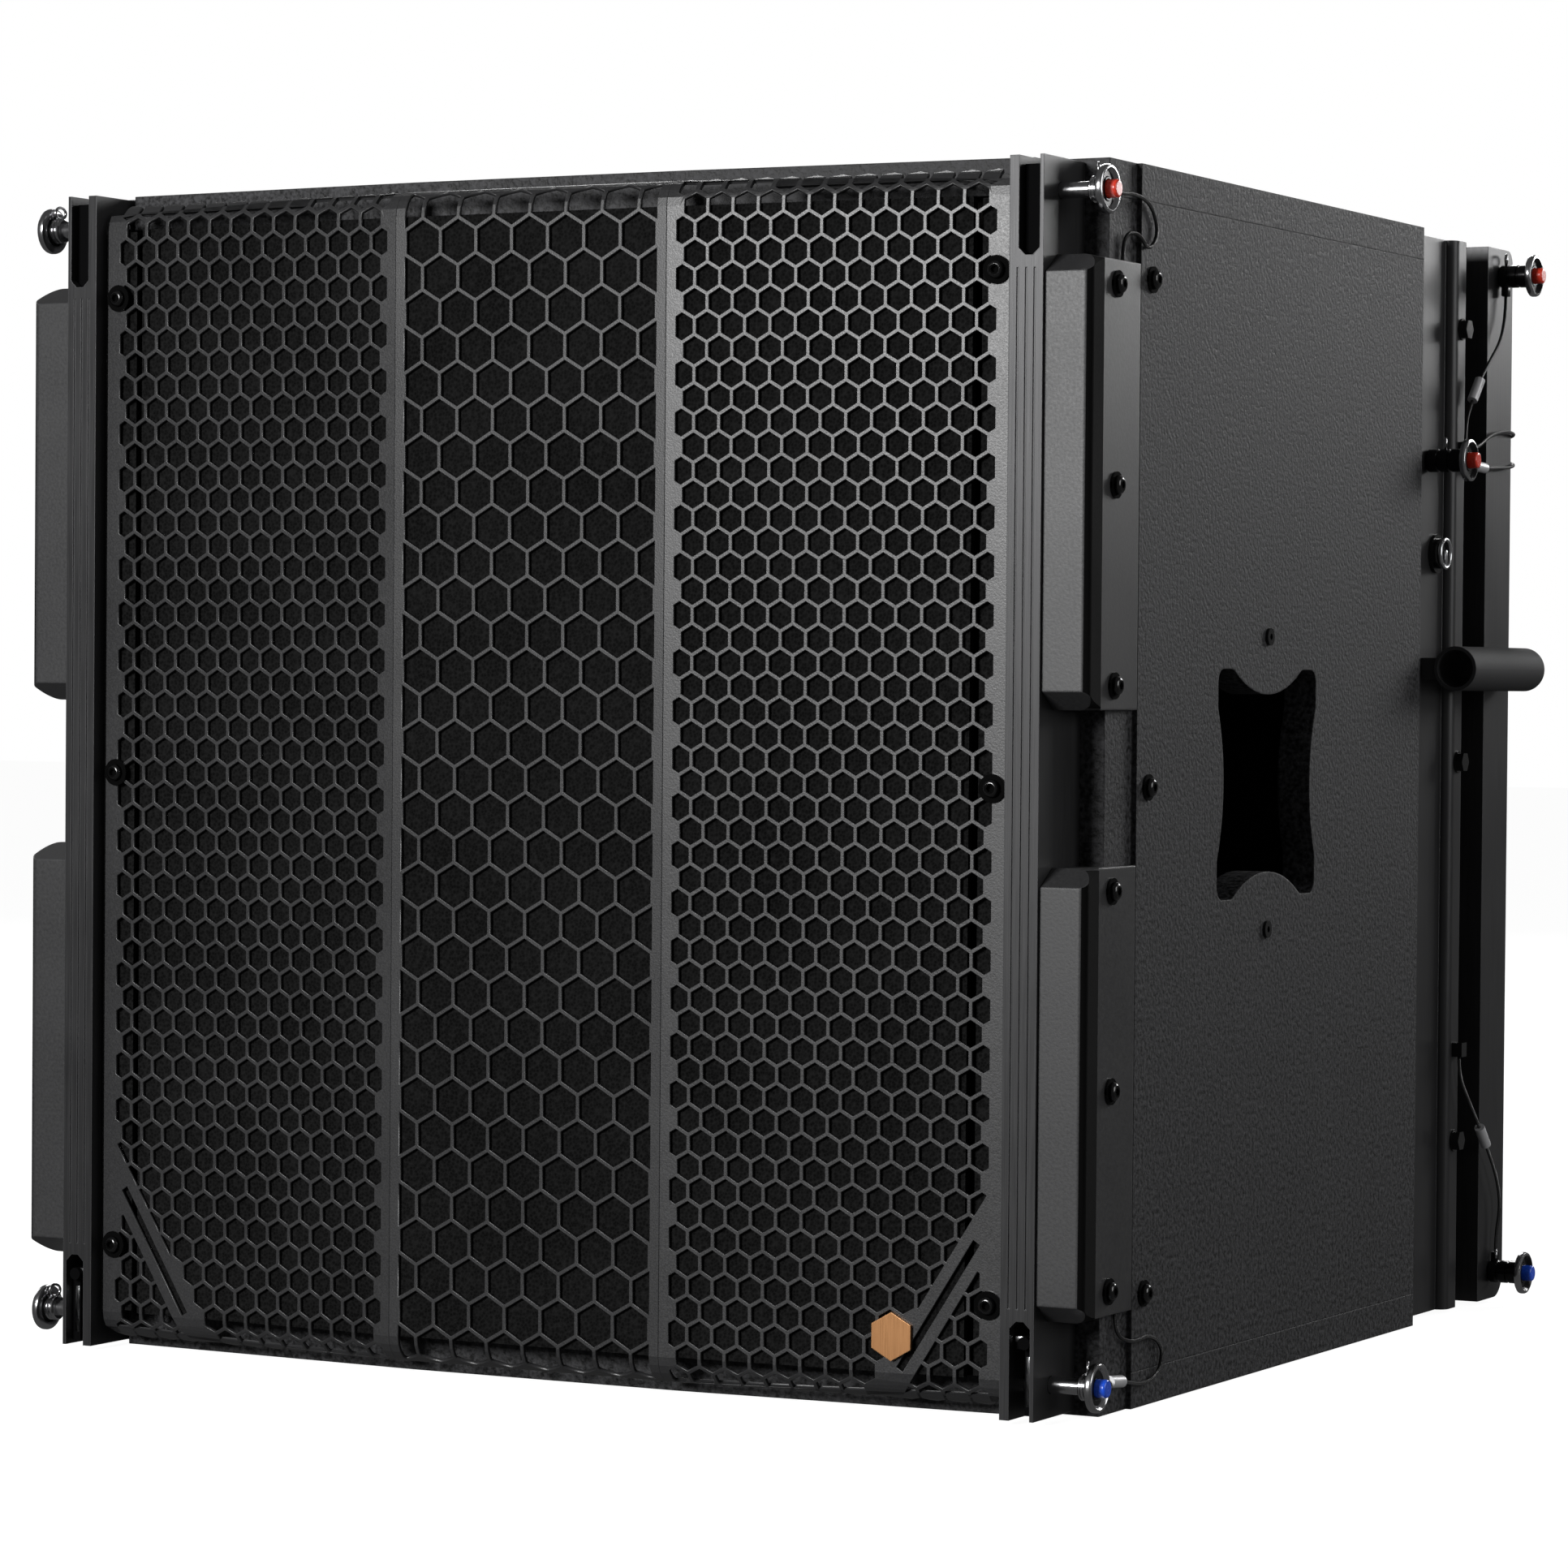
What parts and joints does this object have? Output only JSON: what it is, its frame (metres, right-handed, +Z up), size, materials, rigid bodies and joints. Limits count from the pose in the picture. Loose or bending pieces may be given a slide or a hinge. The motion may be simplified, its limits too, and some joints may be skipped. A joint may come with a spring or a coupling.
{
  "type": "line array speaker",
  "caption": "Flown line array loudspeaker: textured black cabinet, three-facet honeycomb grille, side covers, handles, sliding rigging links and quick-release pins.",
  "frame": {"origin": "under the middle of the loudspeaker, on the plane of its underside", "axes": "+Z up, -Y out of the grille (front), +X to the side seen on the right from in front"},
  "size_m": [0.6488, 0.626, 0.612],
  "materials": {
    "paint": "textured black speaker paint",
    "raw_ply": "black stained plywood",
    "grille_steel": "satin black powder coat",
    "post": "satin black anodised",
    "cover": "smooth satin black",
    "rail": "satin black anodised",
    "foam": "open-cell acoustic foam",
    "link_steel": "blackened steel",
    "bright_steel": "bright steel",
    "black_screw": "black zinc",
    "tube": "satin black",
    "pin": "polished shaft, black grip",
    "red_button": "gloss red",
    "blue_button": "gloss blue",
    "cup": "matt black moulding",
    "copper": "satin copper",
    "basket": "black die casting",
    "magnet": "black plated",
    "cone": "black pulp paper",
    "surround": "black rubber",
    "plate": "black powder coat",
    "socket": "black nylon",
    "wire": "black coated wire rope"
  },
  "bodies": {
    "cabinet": {"top_panel": "paint", "bottom_panel": "paint", "side_panel_left": "paint", "side_panel_right": "paint", "rear_panel": "paint", "baffle": "raw_ply", "grille": "grille_steel", "grille_foam": "foam", "grille_screws": "black_screw", "side_screws": "black_screw", "handle_screws": "black_screw", "rail_bolts": "black_screw", "front_post_left": "post", "front_post_right": "post", "rear_rail_left": "rail", "rear_rail_right": "rail", "cover_upper_left": "cover", "cover_upper_right": "cover", "cover_lower_left": "cover", "cover_lower_right": "cover", "link_guides": "bright_steel", "lanyard_ferrules": "bright_steel", "guide_tube_left": "tube", "guide_tube_right": "tube", "handle_cup_left": "cup", "handle_cup_right": "cup", "badge": "copper", "driver_basket": "basket", "driver_magnet": "magnet", "driver_surround": "surround", "connector_plate": "plate", "connector_sockets": "socket", "lanyard_front_top": "wire", "lanyard_front_bottom": "wire", "lanyard_rear_top": "wire", "lanyard_rear_bottom": "wire", "lanyard_spare": "wire"},
    "front_link_left": {"front_link_left": "link_steel"},
    "front_link_right": {"front_link_right": "link_steel"},
    "rear_link_left": {"rear_link_left": "link_steel"},
    "rear_link_right": {"rear_link_right": "link_steel"},
    "pin_front_top_left": {"pin_front_top_left": "pin"},
    "button_front_top_left": {"button_front_top_left": "red_button"},
    "pin_front_top_right": {"pin_front_top_right": "pin"},
    "button_front_top_right": {"button_front_top_right": "red_button"},
    "pin_front_bottom_left": {"pin_front_bottom_left": "pin"},
    "button_front_bottom_left": {"button_front_bottom_left": "blue_button"},
    "pin_front_bottom_right": {"pin_front_bottom_right": "pin"},
    "button_front_bottom_right": {"button_front_bottom_right": "blue_button"},
    "pin_rear_top_left": {"pin_rear_top_left": "pin"},
    "button_rear_top_left": {"button_rear_top_left": "red_button"},
    "pin_rear_top_right": {"pin_rear_top_right": "pin"},
    "button_rear_top_right": {"button_rear_top_right": "red_button"},
    "pin_rear_bottom_left": {"pin_rear_bottom_left": "pin"},
    "button_rear_bottom_left": {"button_rear_bottom_left": "blue_button"},
    "pin_rear_bottom_right": {"pin_rear_bottom_right": "pin"},
    "button_rear_bottom_right": {"button_rear_bottom_right": "blue_button"},
    "pin_spare": {"pin_spare": "pin"},
    "button_spare": {"button_spare": "red_button"},
    "cone": {"driver_cone": "cone"}
  },
  "joints": [
    {"name": "front_link_left_slide", "type": "slide", "parent": "cabinet", "child": "front_link_left", "axis": [0, 0, 1], "range_m": [0, 0.06]},
    {"name": "front_link_right_slide", "type": "slide", "parent": "cabinet", "child": "front_link_right", "axis": [0, 0, 1], "range_m": [0, 0.06]},
    {"name": "rear_link_left_slide", "type": "slide", "parent": "cabinet", "child": "rear_link_left", "axis": [0, 0, 1], "range_m": [0, 0.06]},
    {"name": "rear_link_right_slide", "type": "slide", "parent": "cabinet", "child": "rear_link_right", "axis": [0, 0, 1], "range_m": [0, 0.06]},
    {"name": "pin_front_top_left_pull", "type": "slide", "parent": "cabinet", "child": "pin_front_top_left", "axis": [-1, 0, 0], "range_m": [0, 0.03]},
    {"name": "button_front_top_left_press", "type": "slide", "parent": "pin_front_top_left", "child": "button_front_top_left", "axis": [1, 0, 0], "range_m": [0, 0.0025], "stiffness_N_per_m": 400},
    {"name": "pin_front_top_right_pull", "type": "slide", "parent": "cabinet", "child": "pin_front_top_right", "axis": [1, 0, 0], "range_m": [0, 0.03]},
    {"name": "button_front_top_right_press", "type": "slide", "parent": "pin_front_top_right", "child": "button_front_top_right", "axis": [-1, 0, 0], "range_m": [0, 0.0025], "stiffness_N_per_m": 400},
    {"name": "pin_front_bottom_left_pull", "type": "slide", "parent": "cabinet", "child": "pin_front_bottom_left", "axis": [-1, 0, 0], "range_m": [0, 0.03]},
    {"name": "button_front_bottom_left_press", "type": "slide", "parent": "pin_front_bottom_left", "child": "button_front_bottom_left", "axis": [1, 0, 0], "range_m": [0, 0.0025], "stiffness_N_per_m": 400},
    {"name": "pin_front_bottom_right_pull", "type": "slide", "parent": "cabinet", "child": "pin_front_bottom_right", "axis": [1, 0, 0], "range_m": [0, 0.03]},
    {"name": "button_front_bottom_right_press", "type": "slide", "parent": "pin_front_bottom_right", "child": "button_front_bottom_right", "axis": [-1, 0, 0], "range_m": [0, 0.0025], "stiffness_N_per_m": 400},
    {"name": "pin_rear_top_left_pull", "type": "slide", "parent": "cabinet", "child": "pin_rear_top_left", "axis": [-1, 0, 0], "range_m": [0, 0.03]},
    {"name": "button_rear_top_left_press", "type": "slide", "parent": "pin_rear_top_left", "child": "button_rear_top_left", "axis": [1, 0, 0], "range_m": [0, 0.0025], "stiffness_N_per_m": 400},
    {"name": "pin_rear_top_right_pull", "type": "slide", "parent": "cabinet", "child": "pin_rear_top_right", "axis": [1, 0, 0], "range_m": [0, 0.03]},
    {"name": "button_rear_top_right_press", "type": "slide", "parent": "pin_rear_top_right", "child": "button_rear_top_right", "axis": [-1, 0, 0], "range_m": [0, 0.0025], "stiffness_N_per_m": 400},
    {"name": "pin_rear_bottom_left_pull", "type": "slide", "parent": "cabinet", "child": "pin_rear_bottom_left", "axis": [-1, 0, 0], "range_m": [0, 0.03]},
    {"name": "button_rear_bottom_left_press", "type": "slide", "parent": "pin_rear_bottom_left", "child": "button_rear_bottom_left", "axis": [1, 0, 0], "range_m": [0, 0.0025], "stiffness_N_per_m": 400},
    {"name": "pin_rear_bottom_right_pull", "type": "slide", "parent": "cabinet", "child": "pin_rear_bottom_right", "axis": [1, 0, 0], "range_m": [0, 0.03]},
    {"name": "button_rear_bottom_right_press", "type": "slide", "parent": "pin_rear_bottom_right", "child": "button_rear_bottom_right", "axis": [-1, 0, 0], "range_m": [0, 0.0025], "stiffness_N_per_m": 400},
    {"name": "pin_spare_pull", "type": "slide", "parent": "cabinet", "child": "pin_spare", "axis": [1, 0, 0], "range_m": [0, 0.03]},
    {"name": "button_spare_press", "type": "slide", "parent": "pin_spare", "child": "button_spare", "axis": [-1, 0, 0], "range_m": [0, 0.0025], "stiffness_N_per_m": 400},
    {"name": "cone_stroke", "type": "slide", "parent": "cabinet", "child": "cone", "axis": [0, -1, 0], "range_m": [-0.008, 0.008], "stiffness_N_per_m": 9000, "deforming": ["driver_surround"]}
  ]
}
